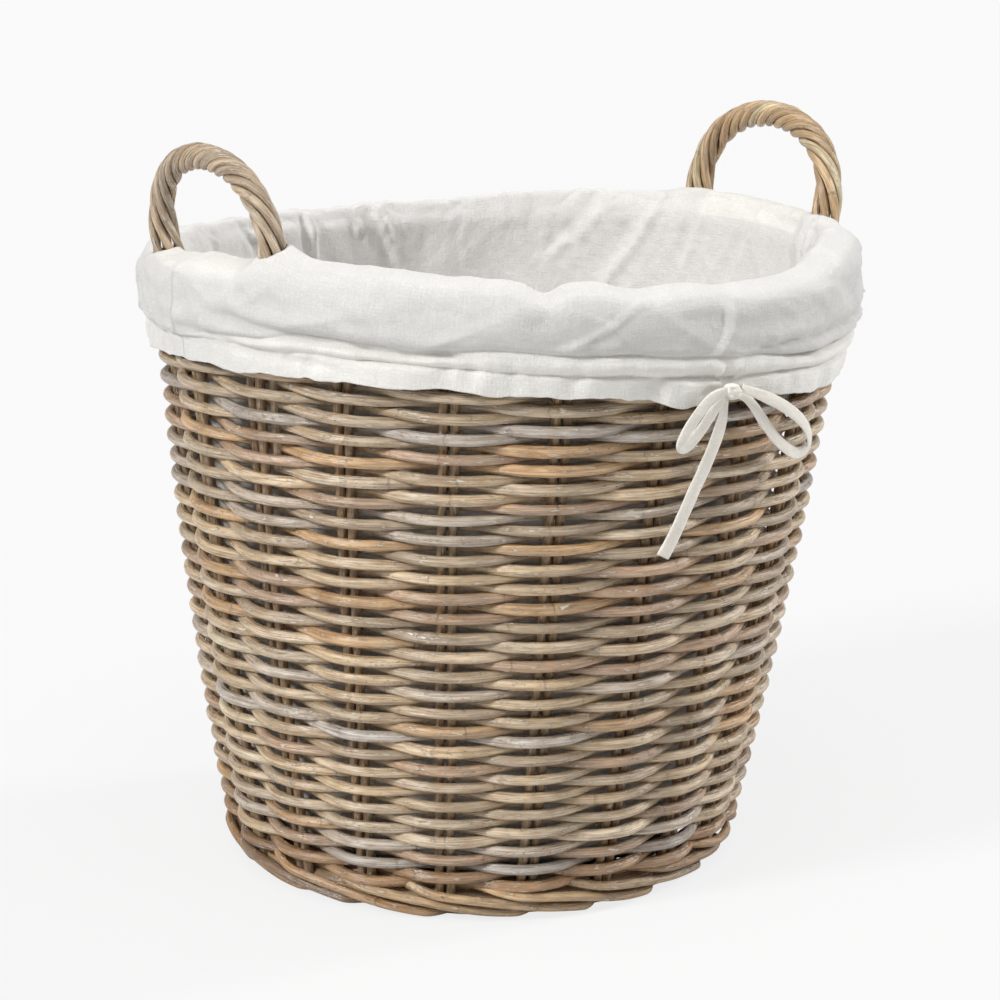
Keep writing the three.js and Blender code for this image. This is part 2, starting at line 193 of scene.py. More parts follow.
def outer_radius(z):
    return FOOT_RADIUS + WALL_FLARE * z - WALL_BOW * z * z


def stake_radius(z):
    return outer_radius(z) - STAKE_INSET


def rim_rise(angle, z):
    a = np.radians(angle)
    return smoothstep(z, SADDLE_START, BORDER_TOP) * (SADDLE_RISE * np.cos(2 * a) - RIM_TILT * np.cos(a))


def wall_point(angle, radius, z):
    """Points at angles in degrees, distances from the leaning axis and heights before the saddle."""
    shift = WALL_LEAN * z / BORDER_TOP
    a = np.radians(angle)
    x = AXIS[0] + shift * LEAN[0] + radius * np.cos(a)
    y = AXIS[1] + shift * LEAN[1] + radius * np.sin(a)
    return stacked(x, y, z + rim_rise(angle, z))


def outward(angle):
    """The level direction out from the axis, at angles in degrees."""
    a = np.radians(angle)
    return np.stack([np.cos(a), np.sin(a), a * 0], -1)


def hem_height(angle):
    turn = np.radians(angle - FRONT)
    return HEM_HEIGHT + HEM_WAVE * np.cos(2 * turn) - HEM_TILT * np.sin(turn)


# ---- Meshes ----
NO_TRIS = np.zeros((0, 3), int)


def tube_quads(grid):
    """The faces of a tube, from a grid of vertex numbers with a row for each of its rings."""
    side = np.roll(grid, -1, axis=1)
    return np.stack([grid[:-1], side[:-1], side[1:], grid[1:]], -1).reshape(-1, 4)


def tube_caps(grid, hubs):
    """The faces that close a tube's two ends, each round the vertex in its middle."""
    side = np.roll(grid, -1, axis=1)
    columns = grid.shape[1]
    first = np.stack([side[0], grid[0], np.full(columns, hubs[0])], -1)
    last = np.stack([grid[-1], side[-1], np.full(columns, hubs[1])], -1)
    return np.vstack([first, last])


def add_object(name, data):
    piece = bpy.data.objects.new(name, data)
    bpy.context.scene.collection.objects.link(piece)
    return piece


def make_mesh(name, verts, quads, tris=NO_TRIS):
    mesh = bpy.data.meshes.new(name)
    mesh.vertices.add(len(verts))
    mesh.vertices.foreach_set("co", np.asarray(verts, np.float32).ravel())
    mesh.loops.add(quads.size + tris.size)
    mesh.loops.foreach_set("vertex_index", np.concatenate([quads.ravel(), tris.ravel()]).astype(np.int32))
    mesh.polygons.add(len(quads) + len(tris))
    starts = np.concatenate([np.arange(len(quads)) * 4, quads.size + np.arange(len(tris)) * 3])
    mesh.polygons.foreach_set("loop_start", starts.astype(np.int32))
    mesh.update(calc_edges=True)
    mesh.validate()
    mesh.shade_smooth()
    return add_object(name, mesh)


def store(piece, name, values):
    """Gives each vertex a vector, or a colour if it has four parts, which the material reads."""
    field = "color" if values.shape[-1] == 4 else "vector"
    attribute = piece.data.attributes.new(name, f"FLOAT_{field.upper()}", "POINT")
    attribute.data.foreach_set(field, values.astype(np.float32).ravel())


def finish_piece(piece, material, *nodes):
    """Gives the piece its material, hangs it under the root body and hides the CAD parts that it replaces.
    """
    piece.data.materials.append(material)
    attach(piece, "root")
    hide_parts(*nodes)
    return piece


class Canes:
    """Canes swept along their paths and gathered into one mesh.

    Each vertex stores its grain, a place in a straight cane, and its cane's tint.
    """

    def __init__(self):
        self.verts, self.quads, self.tris, self.grain, self.tint = [], [], [], [], []
        self.count = 0

    def add(self, path, out, half_up, half_out, tone, sides=CANE_SIDES):
        steps = len(path)
        ahead = heading(path)
        out = square_to(ahead, np.broadcast_to(out, path.shape))
        up = np.cross(ahead, out)
        half_up = np.broadcast_to(half_up, steps)[:, None, None]
        half_out = np.broadcast_to(half_out, steps)[:, None, None]
        turn = 2 * np.pi * np.arange(sides) / sides
        c, s = np.cos(turn)[None, :, None], np.sin(turn)[None, :, None]
        rings = path[:, None] + out[:, None] * c * half_out + up[:, None] * s * half_up
        run = run_along(path)
        colour, start = tone
        grain = np.empty((steps, sides, 3))
        grain[..., 0] = run[:, None] + start
        grain[..., 1:] = 0.005 * np.stack([np.cos(turn), np.sin(turn)], -1)[None]
        grid = self.count + np.arange(steps * sides).reshape(steps, sides)
        self.quads.append(tube_quads(grid))
        self.tris.append(tube_caps(grid, self.count + steps * sides + np.arange(2)))
        self.verts.append(np.vstack([rings.reshape(-1, 3), path[[0, -1]]]))
        end_grain = np.array([[run[0] + start, 0, 0], [run[-1] + start, 0, 0]])
        self.grain.append(np.vstack([grain.reshape(-1, 3), end_grain]))
        self.tint.append(np.tile([*colour, 1.0], (steps * sides + 2, 1)))
        self.count += steps * sides + 2

    def build(self, name, material, *nodes):
        piece = make_mesh(name, np.vstack(self.verts), np.vstack(self.quads), np.vstack(self.tris))
        store(piece, "grain", np.vstack(self.grain))
        store(piece, "tint", np.vstack(self.tint))
        return finish_piece(piece, material, *nodes)


# ---- Canes ----
# Each tone: its screen colour, then how often it comes.
WALL_TONES = [
    (226, 200, 162, 24), (224, 200, 166, 20), (210, 187, 156, 14), (214, 198, 178, 9),
    (210, 200, 188, 6), (220, 180, 132, 9), (234, 212, 180, 14), (208, 174, 142, 12),
]
STAKE_TONES = [(190, 160, 126, 3), (204, 176, 142, 2), (176, 148, 118, 2)]
FOOT_TONES = [(198, 156, 110, 3), (178, 140, 100, 3), (206, 174, 132, 2), (152, 120, 90, 2)]
HANDLE_TONES = {
    "left": [(216, 192, 162, 3), (196, 170, 142, 2), (226, 206, 178, 2)],
    "right": [(230, 198, 154, 3), (216, 182, 138, 2), (236, 210, 172, 2)],
}
CANE_NODES = 0.155  # how far apart a cane's nodes are
STAKE_NODES = 0.19
HANDLE_NODES = 0.135


def node_swelling(run, spacing):
    """How much a cane thickens at its nodes."""
    away = np.abs(run / spacing % 1 - 0.5) * spacing
    return 0.10 * np.exp(-((away / 0.0035) ** 2))


def pick_tone(tones):
    """One cane's colour, and where along an endless cane its grain starts."""
    *colour, _ = rng.choices(tones, [tone[3] for tone in tones])[0]
    shade = rng.uniform(0.82, 1.12)
    return tuple(min(0.85, c * shade) for c in linear(*colour)), rng.uniform(0, 400)


# ---- Shaders ----
def set_inputs(node, **values):
    for name, value in values.items():
        node.inputs[name.replace("_", " ")].default_value = value


class Shader:
    """A Principled material and short ways to add nodes to it."""

    def __init__(self, name, **sockets):
        self.material = bpy.data.materials.new(name)
        self.material.use_nodes = True
        self.tree = self.material.node_tree
        self.surface = self.tree.nodes["Principled BSDF"]
        set_inputs(self.surface, **sockets)

    def node(self, kind):
        return self.tree.nodes.new(f"ShaderNode{kind}")

    def put(self, value, socket):
        if isinstance(value, bpy.types.NodeSocket):
            self.tree.links.new(value, socket)
        else:
            socket.default_value = value

    def attribute(self, name, output):
        node = self.node("Attribute")
        node.attribute_name = name
        return node.outputs[output]

    def math(self, operation, a, b=0.0):
        node = self.node("Math")
        node.operation = operation
        self.put(a, node.inputs[0])
        self.put(b, node.inputs[1])
        return node.outputs[0]

    def plus(self, a, b):
        return self.math("ADD", a, b)

    def times(self, a, b):
        return self.math("MULTIPLY", a, b)

    def noise(self, vector, factors, detail):
        """Noise with so many cells to a metre along each of the vector's axes."""
        scaled = self.node("VectorMath")
        scaled.operation = "MULTIPLY"
        self.put(vector, scaled.inputs[0])
        self.put(factors, scaled.inputs[1])
        node = self.node("TexNoise")
        set_inputs(node, Scale=1.0, Detail=detail)
        self.put(scaled.outputs[0], node.inputs["Vector"])
        return node.outputs["Fac"]

    def ramp(self, value, low, high, start=0.0, end=1.0):
        node = self.node("MapRange")
        node.interpolation_type = "SMOOTHSTEP"
        for k, v in enumerate((value, low, high, start, end)):
            self.put(v, node.inputs[k])
        return node.outputs[0]

    def part(self, vector, output):
        node = self.node("SeparateXYZ")
        self.put(vector, node.inputs[0])
        return node.outputs[output]

    def mix(self, factor, a, b, blend="MIX"):
        node = self.node("Mix")
        node.data_type = "RGBA"
        node.blend_type = blend
        self.put(factor, node.inputs[0])
        self.put(a, node.inputs[6])
        self.put(b, node.inputs[7])
        return node.outputs[2]

    def shaded(self, colour, red, green, blue):
        """The colour multiplied by another."""
        return self.mix(1.0, colour, (red, green, blue, 1), "MULTIPLY")

    def bump(self, height, strength, distance):
        node = self.node("Bump")
        set_inputs(node, Strength=strength, Distance=distance)
        self.put(height, node.inputs["Height"])
        self.put(node.outputs[0], self.surface.inputs["Normal"])


def cane_material(name, node_spacing, shine):
    """Cane skin: fibres along its length, blotches, pale flakes, dark specks and scaly nodes."""
    s = Shader(name, Specular_IOR_Level=shine)
    grain = s.attribute("grain", "Vector")
    fibres = s.noise(grain, (16, 800, 800), 4.0)
    blotches = s.noise(grain, (60, 240, 240), 5.0)
    drift = s.noise(grain, (12, 70, 70), 3.0)
    warmth = s.noise(grain, (16, 50, 50), 1.0)
    scales = s.noise(grain, (150, 380, 380), 6.0)
    flakes = s.ramp(scales, 0.58, 0.66)
    specks = s.ramp(s.noise(grain, (380, 700, 700), 4.0), 0.61, 0.67)
    stained = s.ramp(s.noise(grain, (11, 60, 60), 2.0), 0.50, 0.64)
    place = s.math("FRACT", s.math("DIVIDE", s.part(grain, "X"), node_spacing))
    away = s.times(s.math("ABSOLUTE", s.math("SUBTRACT", place, 0.5)), node_spacing)
    ragged = s.plus(away, s.times(s.math("SUBTRACT", blotches, 0.5), 0.006))
    ring = s.ramp(ragged, 0.0004, 0.0014, 1.0, 0.0)
    near_node = s.ramp(ragged, 0.002, 0.010, 1.0, 0.0)
    colour = s.attribute("tint", "Color")
    colour = s.mix(s.ramp(warmth, 0.35, 0.65), s.shaded(colour, 0.92, 0.95, 1.02), colour)
    colour = s.mix(s.ramp(blotches, 0.36, 0.62), s.shaded(colour, 0.72, 0.66, 0.59), colour)
    colour = s.mix(s.ramp(drift, 0.46, 0.76, 0.0, 0.55), colour, (0.26, 0.19, 0.12, 1))
    colour = s.mix(s.ramp(fibres, 0.38, 0.54, 0.50, 0.0), colour, (0.17, 0.115, 0.07, 1))
    pale = s.times(flakes, s.ramp(near_node, 0.0, 1.0, 0.45, 0.85))
    colour = s.mix(pale, colour, (0.80, 0.74, 0.63, 1))
    dark = s.times(specks, s.ramp(stained, 0.0, 1.0, 0.0, 0.7))
    colour = s.mix(dark, colour, (0.085, 0.052, 0.030, 1))
    colour = s.mix(s.times(ring, 0.15), colour, (0.12, 0.08, 0.05, 1))
    s.put(colour, s.surface.inputs["Base Color"])
    s.put(s.ramp(blotches, 0.3, 0.7, 0.25, 0.44), s.surface.inputs["Roughness"])
    height = s.plus(s.times(fibres, 0.45), s.times(blotches, 1.1))
    height = s.plus(height, s.times(flakes, 0.4))
    height = s.plus(height, s.times(ring, -0.25))
    s.bump(height, 0.9, 0.0019)
    return s.material


def cloth_material(name, shine, thread):
    """Plain-woven cotton: crossing threads with slubs, fine crumples and a slightly uneven tone."""
    s = Shader(name, Roughness=0.92, Specular_IOR_Level=shine, Sheen_Weight=0.10, Sheen_Roughness=0.5)
    cloth = s.attribute("cloth", "Vector")
    weft = s.noise(cloth, (70, 1000, 1), 4.0)
    warp = s.noise(cloth, (1000, 70, 1), 4.0)
    patch = s.noise(cloth, (60, 60, 1), 6.0)
    lint = s.noise(cloth, (700, 700, 1), 3.0)
    crumple = s.noise(cloth, (130, 130, 1), 4.0)
    waves = [s.math("SINE", s.times(s.part(cloth, axis), 2 * math.pi / thread)) for axis in "XY"]
    weave = s.times(*waves)
    threads = s.plus(weft, warp)
    tone = s.attribute("tint", "Color")
    darker = s.shaded(tone, 0.86, 0.855, 0.85)
    tone = s.mix(s.ramp(threads, 0.8, 1.2, 0.0, 0.55), tone, darker)
    tone = s.mix(s.ramp(lint, 0.42, 0.60, 0.0, 0.55), tone, darker)
    tone = s.mix(s.ramp(patch, 0.35, 0.7, 0.0, 0.35), tone, darker)
    s.put(tone, s.surface.inputs["Base Color"])
    height = s.plus(s.times(weave, 0.15), s.plus(threads, lint))
    height = s.plus(height, s.times(crumple, 3.5))
    s.bump(height, 0.5, 0.0008)
    return s.material


CANE = cane_material("wall_cane", CANE_NODES, 0.95)
STAKE = cane_material("stake_cane", STAKE_NODES, 0.3)
HANDLE = cane_material("handle_cane", HANDLE_NODES, 0.75)
COTTON = cloth_material("liner_cotton", 0.15, 0.0006)
TAPE = cloth_material("drawstring_tape", 0.12, 0.0008)
TAPE_TINT = (*linear(246, 241, 231), 1)


# ---- Camera, lights and floor ----
VIEW_DIRECTION = math.radians(-31)
VIEW_DISTANCE = 2.0
VIEW_HEIGHT = 0.747
VIEW_PITCH = math.radians(14.05)
LENS = 104.9


def aim(piece, direction, axis):
    piece.rotation_mode = "QUATERNION"
    piece.rotation_quaternion = direction.to_track_quat(axis, "Y")


def make_camera():
    data = bpy.data.cameras.new("camera")
    data.lens = LENS
    data.sensor_width = 36
    camera = add_object("camera", data)
    back = Vector((math.sin(VIEW_DIRECTION), -math.cos(VIEW_DIRECTION), 0))
    camera.location = back * VIEW_DISTANCE + Vector((0, 0, VIEW_HEIGHT))
    look = -back * math.cos(VIEW_PITCH) - Vector((0, 0, math.sin(VIEW_PITCH)))
    aim(camera, look, "-Z")
    bpy.context.scene.camera = camera


def add_sun(name, azimuth, elevation, softness, strength):
    """A soft distant light. Azimuth is from the camera's side, to its right; all angles in degrees."""
    data = bpy.data.lights.new(name, "SUN")
    data.angle = math.radians(softness)
    data.energy = strength
    a = VIEW_DIRECTION + math.radians(azimuth)
    e = math.radians(elevation)
    source = Vector((math.sin(a) * math.cos(e), -math.cos(a) * math.cos(e), math.sin(e)))
    aim(add_object(name, data), source, "Z")


def camera_sees(tree, lighting, seen, output):
    """Lets the camera see one shader, while reflections and bounced light get another."""
    rays = tree.nodes.new("ShaderNodeLightPath")
    choose = tree.nodes.new("ShaderNodeMixShader")
    for k, source in enumerate((rays.outputs["Is Camera Ray"], lighting.outputs[0], seen.outputs[0])):
        tree.links.new(source, choose.inputs[k])
    tree.links.new(choose.outputs[0], tree.nodes[output].inputs["Surface"])


def floor_material():
    """A pale floor. What is seen of it is mostly even white, with a faint shadow."""
    s = Shader("floor", Roughness=0.9, Base_Color=(0.72, 0.72, 0.72, 1))
    seen = s.node("BsdfPrincipled")
    set_inputs(seen, Base_Color=(0.12, 0.12, 0.12, 1), Roughness=0.9, Specular_IOR_Level=0.0)
    set_inputs(seen, Emission_Color=(1, 1, 1, 1), Emission_Strength=0.80)
    camera_sees(s.tree, s.surface, seen, "Material Output")
    return s.material


def make_studio():
    scene = bpy.context.scene
    scene.view_settings.view_transform = "Standard"
    world = bpy.data.worlds.new("studio")
    world.use_nodes = True
    tree = world.node_tree
    soft = tree.nodes["Background"]
    set_inputs(soft, Color=(1, 1, 1, 1), Strength=0.27)
    seen = tree.nodes.new("ShaderNodeBackground")
    set_inputs(seen, Color=(1, 1, 1, 1), Strength=0.94)
    camera_sees(tree, soft, seen, "World Output")
    scene.world = world
    add_sun("key", -56, 34, 14, 2.25)
    add_sun("right", 111, 25, 12, 1.8)
    add_sun("top", 10, 70, 50, 1.2)
    bpy.ops.mesh.primitive_circle_add(vertices=96, radius=14, fill_type="NGON")
    floor = bpy.context.object
    floor.name = "floor"
    floor.data.materials.append(floor_material())


make_camera()
make_studio()


# ---- Drawstring bow ----
# The tape's routes: degrees round from the bow, then millimetres off the weave and in height.
KNOT = (-0.3, 14.5, 373)
KNOT_HALF = (0.0058, 0.0042, 0.0050)  # along the weave, out from it, and up
LOOP_LEFT = [
    (-1.2, 15.5, 374.5), (-3.6, 15, 371), (-5.4, 14.8, 364), (-6.8, 14.2, 355), (-7.8, 13.5, 346),
    (-8.1, 12.5, 339.5), (-7.4, 10.5, 336.5), (-6.3, 9.7, 338), (-5.2, 9.6, 343), (-4.2, 9.8, 349),
    (-3.2, 10.4, 356), (-2.1, 11.2, 364), (-1.2, 11.8, 369),
]
LOOP_RIGHT = [
    (1.2, 15.5, 374), (4.6, 15.5, 368), (8.2, 15, 361), (11.8, 14.8, 353), (15.6, 14.5, 343),
    (18.9, 13.8, 333), (21.2, 12.5, 323), (21.9, 11.2, 316.5), (20.4, 9.8, 313.5), (18.0, 9.2, 315.5),
    (15.5, 9, 321), (13.0, 8.8, 328), (10.5, 8.8, 337), (7.8, 9.2, 348), (5.6, 10.2, 357),
    (3.4, 11.2, 365), (1.4, 11.8, 369.5),
]
TAIL = [
    (-0.6, 9.6, 366), (-0.5, 9, 359), (-0.5, 8.6, 351), (-0.9, 8, 340), (-1.6, 7.4, 329), (-2.5, 7, 317),
    (-3.6, 6.6, 305), (-4.7, 6.4, 292), (-5.8, 6.3, 280), (-6.9, 6.2, 269), (-8.0, 6.2, 260),
]
TAPE_THICKNESS = 0.0009
TAPE_CUP = 0.0004


def tape_route(route):
    turn, off, z = (np.array(route) / (1, 1000, 1000)).T
    return wall_point(BOW_ANGLE + turn, outer_radius(z) + off, z)


def tape_piece(name, verts, quads, tris, cloth):
    piece = make_mesh(f"bow_{name}", verts, quads, tris)
    store(piece, "cloth", cloth)
    store(piece, "tint", np.tile(TAPE_TINT, (len(verts), 1)))
    return finish_piece(piece, TAPE, f"drawstring_{name}")


def make_tape(name, route, steps, seed, width):
    """A flat tape along a route, slightly cupped, with soft edges and a little unevenness."""
    line = spline(tape_route(route), steps)
    ahead = heading(line)
    away = line - [*AXIS, 0]
    away[:, 2] = 0
    across = unit(np.cross(unit(away), ahead))
    normal = np.cross(ahead, across)
    run = run_along(line)
    half = TAPE_WIDTH / 2 * width(run / run[-1])
    half *= 1 + 0.05 * line_noise(run / 0.012, seed)
    columns = np.linspace(-1, 1, 9)
    cup = TAPE_CUP * (1 - columns**2) * (1 + 0.6 * line_noise(run / 0.02, seed + 1))[:, None]
    crease = 0.0003 * noise3(stacked(run[:, None] / 0.009, columns * 1.5, seed * 1.0))
    middle = line[:, None] + across[:, None] * (half[:, None] * columns)[..., None]
    middle += normal[:, None] * (cup + crease)[..., None]
    thick = TAPE_THICKNESS / 2 * (1 - 0.55 * columns**4)[:, None]
    top, bottom = middle + normal[:, None] * thick, middle - normal[:, None] * thick
    ring = np.concatenate([top, bottom[:, ::-1]], axis=1)
    sides = ring.shape[1]
    grid = np.arange(steps * sides).reshape(steps, sides)
    low, high = grid[0], grid[-1]
    ends = []
    for k in range(len(columns) - 1):
        ends.append([low[k], low[-1 - k], low[-2 - k], low[k + 1]])
        ends.append([high[k], high[k + 1], high[-2 - k], high[-1 - k]])
    flat = np.concatenate([columns, columns[::-1]]) * TAPE_WIDTH / 2
    cloth = stacked(flat, run[:, None], seed * 1.0).reshape(-1, 3)
    quads = np.vstack([tube_quads(grid), ends])
    return tape_piece(name, ring.reshape(-1, 3), quads, NO_TRIS, cloth), line, float(run[-1])


def make_knot():
    """The bow's knot: a turn of tape wrapped over the loops' roots."""
    centre = tape_route([KNOT])[0]
    side = np.array([-math.sin(math.radians(BOW_ANGLE)), math.cos(math.radians(BOW_ANGLE)), 0])
    out = outward(BOW_ANGLE)
    up = np.array([0, 0, 1.0])
    rows, columns = 25, 32
    turn = np.linspace(0, 2 * np.pi, columns, endpoint=False)
    rise = np.linspace(-1, 1, rows)
    profile = np.sqrt(np.clip(1 - np.abs(rise) ** 3.2, 0.0, 1)) * 0.92 + 0.06
    lumps = noise3(stacked(np.cos(turn) * 1.7, np.sin(turn) * 1.7, rise[:, None] * 2.4), 3)
    folds = 0.10 * np.abs(np.cos(3.5 * turn + 2.4 * rise[:, None])) ** 0.6
    size = profile[:, None] * (0.95 + 0.16 * lumps + folds)
    body = (
        centre
        + side * (KNOT_HALF[0] * size * np.cos(turn))[..., None]
        + out * (KNOT_HALF[1] * size * np.sin(turn))[..., None]
        + (up - 0.35 * side) * (KNOT_HALF[2] * rise[:, None] + 0 * size)[..., None]
    )
    grid = np.arange(rows * columns).reshape(rows, columns)
    verts = np.vstack([body.reshape(-1, 3), body[0].mean(0), body[-1].mean(0)])
    cloth = stacked(turn * 0.005, rise[:, None] * 0.006, 9.0).reshape(-1, 3)
    caps = tube_caps(grid, rows * columns + np.arange(2))
    return tape_piece("knot", verts, tube_quads(grid), caps, np.vstack([cloth, np.zeros((2, 3))]))


def waisted(share):
    """A loop's width: pinched where it goes into the knot at both ends."""
    return 0.58 + 0.26 * smoothstep(np.minimum(share, 1 - share), 0.0, 0.16)


def tail_width(share):
    return 0.66 + 0.38 * smoothstep(share, 0.0, 0.22)


def make_bow():
    knot = make_knot()
    parts = [
        ("loop_left", LOOP_LEFT, 70, waisted, "object"),
        ("loop_right", LOOP_RIGHT, 110, waisted, "object"),
        ("tail", TAIL, 80, tail_width, "bare"),
    ]
    for seed, (name, route, steps, width, far_end) in enumerate(parts):
        piece, line, length = make_tape(name, route, steps, seed + 11, width)


make_bow()


# ---- Wall ----
ROWS = COURSES * ROWS_PER_COURSE
ROW_PITCH = (COURSES_END - COURSES_START) / ROWS
STAKE_LOW = 0.012
STAKE_HIGH = COURSES_END + 0.004
STAKE_SLIT = 0.0012  # between the two stakes of a pair


def weave_radius(z):
    return stake_radius(z) + WEAVE_OUT


def weaver(canes, row, first, pairs, tone):
    """One cane of a row, in front of a stake pair and behind the next, with its ends behind stakes."""
    start = FIRST_PAIR + PAIR_PITCH * first - PAIR_PITCH * END_SHARE
    span = PAIR_PITCH * (pairs + 2 * END_SHARE)
    angle = start + np.linspace(0, span, int(round(span * PAIRS / 360 * STEPS_PER_PAIR)) + 1)
    z = COURSES_START + ROW_PITCH * (row + 0.5)
    phase = np.radians(angle - FIRST_PAIR) * PAIRS / 2 + row * np.pi
    seed = 100 + row
    ring = angle / 360 * 40
    z = z + 0.0010 * line_noise(ring / 1.6, seed) + 0.0007 * line_noise(ring / 7, seed + 500)
    size = rng.uniform(0.93, 1.09) + 0.07 * line_noise(ring / 4, seed + 900)
    size += 0.035 * line_noise(ring * 1.9, seed + 1300)
    size += node_swelling(angle * math.pi / 180 * stake_radius(z) + tone[1], CANE_NODES)
    over = smoothstep(np.abs(np.cos(phase)), 0.0, 0.5)
    half_up = (CROSSING_HALF + (CANE_HALF - CROSSING_HALF) * over) * size
    radius = weave_radius(z) + CANE_TRAVEL * np.cos(phase) + 0.0005 * line_noise(ring * 1.3, seed + 1700)
    canes.add(wall_point(angle, radius, z), outward(angle), half_up, CANE_HALF * size, tone)


def make_courses():
    """The wall's rows, of three canes each, whose joints are drawn at random."""
    for course in range(COURSES):
        canes = Canes()
        for row in range(course * ROWS_PER_COURSE, (course + 1) * ROWS_PER_COURSE):
            first = rng.randrange(PAIRS // 2) * 2 + (1 - row % 2)
            joints = [0, *sorted(rng.sample(range(2, PAIRS // 2 - 1), 2)), PAIRS // 2]
            for low, high in zip(joints, joints[1:]):
                weaver(canes, row, first + 2 * low, 2 * (high - low), pick_tone(WALL_TONES))
        canes.build(f"weavers_{course + 1:02d}", CANE, f"wall_course_{course + 1:02d}")


def make_stakes():
    half = STAKE_DIAMETER / 2
    for i in range(PAIRS):
        canes = Canes()
        angle = FIRST_PAIR + PAIR_PITCH * i
        for side in (-1, 1):
            z = np.linspace(STAKE_LOW, STAKE_HIGH, 90)
            wobble = 0.0005 * line_noise(z / 0.03, 3000 + 7 * i + side)
            offset = side * (half + STAKE_SLIT / 2) + wobble
            size = half * (1 + 0.05 * line_noise(z / 0.08, 3500 + 5 * i + side))
            path = wall_point(angle + np.degrees(offset / weave_radius(z)), weave_radius(z), z)
            canes.add(path, outward(angle), size, size, pick_tone(STAKE_TONES), 10)
        canes.build(f"stakes_{i + 1:02d}", STAKE, f"stake_pair_{i + 1:02d}")


make_courses()
make_stakes()


# ---- Foot and rim ----
FLOOR_GAP = 0.0002


def rolled_border(canes, reach, top, low, radius_top, radius_low, thick, depth, seed):
    """Canes that come out between the stakes at the top, run round the edge and tuck in below.

    Each reaches so many degrees round, and starts and ends so deep inside the edge.
    """
    for i in range(PAIRS):
        share = np.linspace(0, 1, 90)
        begin = FIRST_PAIR + PAIR_PITCH * i + 2.0 * line_noise([i * 1.7], seed)[0]
        angle = begin + (reach + 8 * line_noise([i * 2.9], seed + 9)[0]) * share
        emerge = 1 - smoothstep(share, 0.0, 0.33)
        tuck = smoothstep(share, 0.86, 1.0)
        drop = 0.35 * share + 0.65 * smoothstep(share, 0.0, 1.0) - 0.18 * emerge
        z = top + (low - top) * drop + 0.0022 * line_noise(share * 4, seed + i)
        radius = radius_top + (radius_low - radius_top) * np.maximum(drop, 0) ** 1.6
        radius = radius - depth * emerge - 0.9 * depth * tuck - 0.0062 * share
        radius += 0.0018 * line_noise(share * 4 + 9, seed + i + 33)
        uneven = 0.13 * line_noise([i * 2.3], seed + 50)[0]
        size = thick / 2 * (1 + uneven + 0.05 * line_noise(share * 9, seed + i + 70))
        path = wall_point(angle, radius, np.maximum(z, size + FLOOR_GAP))
        canes.add(path, outward(angle), size, size, pick_tone(FOOT_TONES))


def hidden_ring(canes, radius, ripple, z, half_up, half_out):
    """A cane right round the basket, under the rolled canes."""
    angle = np.linspace(0, 360, 180)
    path = wall_point(angle, radius + ripple * np.sin(np.radians(angle * PAIRS)), z)
    canes.add(path, outward(angle), half_up, half_out, pick_tone(FOOT_TONES))


def make_foot():
    canes = Canes()
    edge = FOOT_RADIUS + 0.0035
    rolled_border(
        canes, reach=58, top=0.0245, low=0.0036, radius_top=edge, radius_low=edge - 0.0060,
        thick=0.0064, depth=0.018, seed=40,
    )
    for k, inset in enumerate((0.0215, 0.0185, 0.0215)):
        hidden_ring(canes, edge - inset, 0.0008, 0.0054 + 0.0085 * k, 0.0052, 0.0062)
    canes.build("foot_canes", CANE, "foot_border")


def make_wale():
    """Two rows under the wall's first, of two canes each."""
    canes = Canes()
    half_way = PAIRS // 2
    for row in (-1, -2):
        for first in (1 - row % 2, half_way + 1 - row % 2):
            weaver(canes, row, first, half_way, pick_tone(FOOT_TONES))
    canes.build("wale_canes", CANE, "bottom_wale")


def make_rim():
    canes = Canes()
    z = BORDER_TOP - BORDER_HEIGHT
    edge = stake_radius(z) + 0.0095
    rolled_border(
        canes, reach=58, top=BORDER_TOP - 0.0125, low=z - 0.001, radius_top=edge, radius_low=edge + 0.001,
        thick=0.0080, depth=0.009, seed=80,
    )
    for k in range(2):
        hidden_ring(canes, stake_radius(z) + 0.001 - 0.002 * k, 0, z + 0.002 + 0.005 * k, 0.0045, 0.0065)
    canes.build("rim_canes", CANE, "rim_border")


make_foot()
make_wale()
make_rim()


# ---- Base ----
STICKS_PER_BUNDLE = 3
STICK_HALF = 0.0045
BASE_MIDDLE = 0.017
BASE_RADII = (0.062, 0.106, 0.150)
BASE_WEAVER = 0.0025


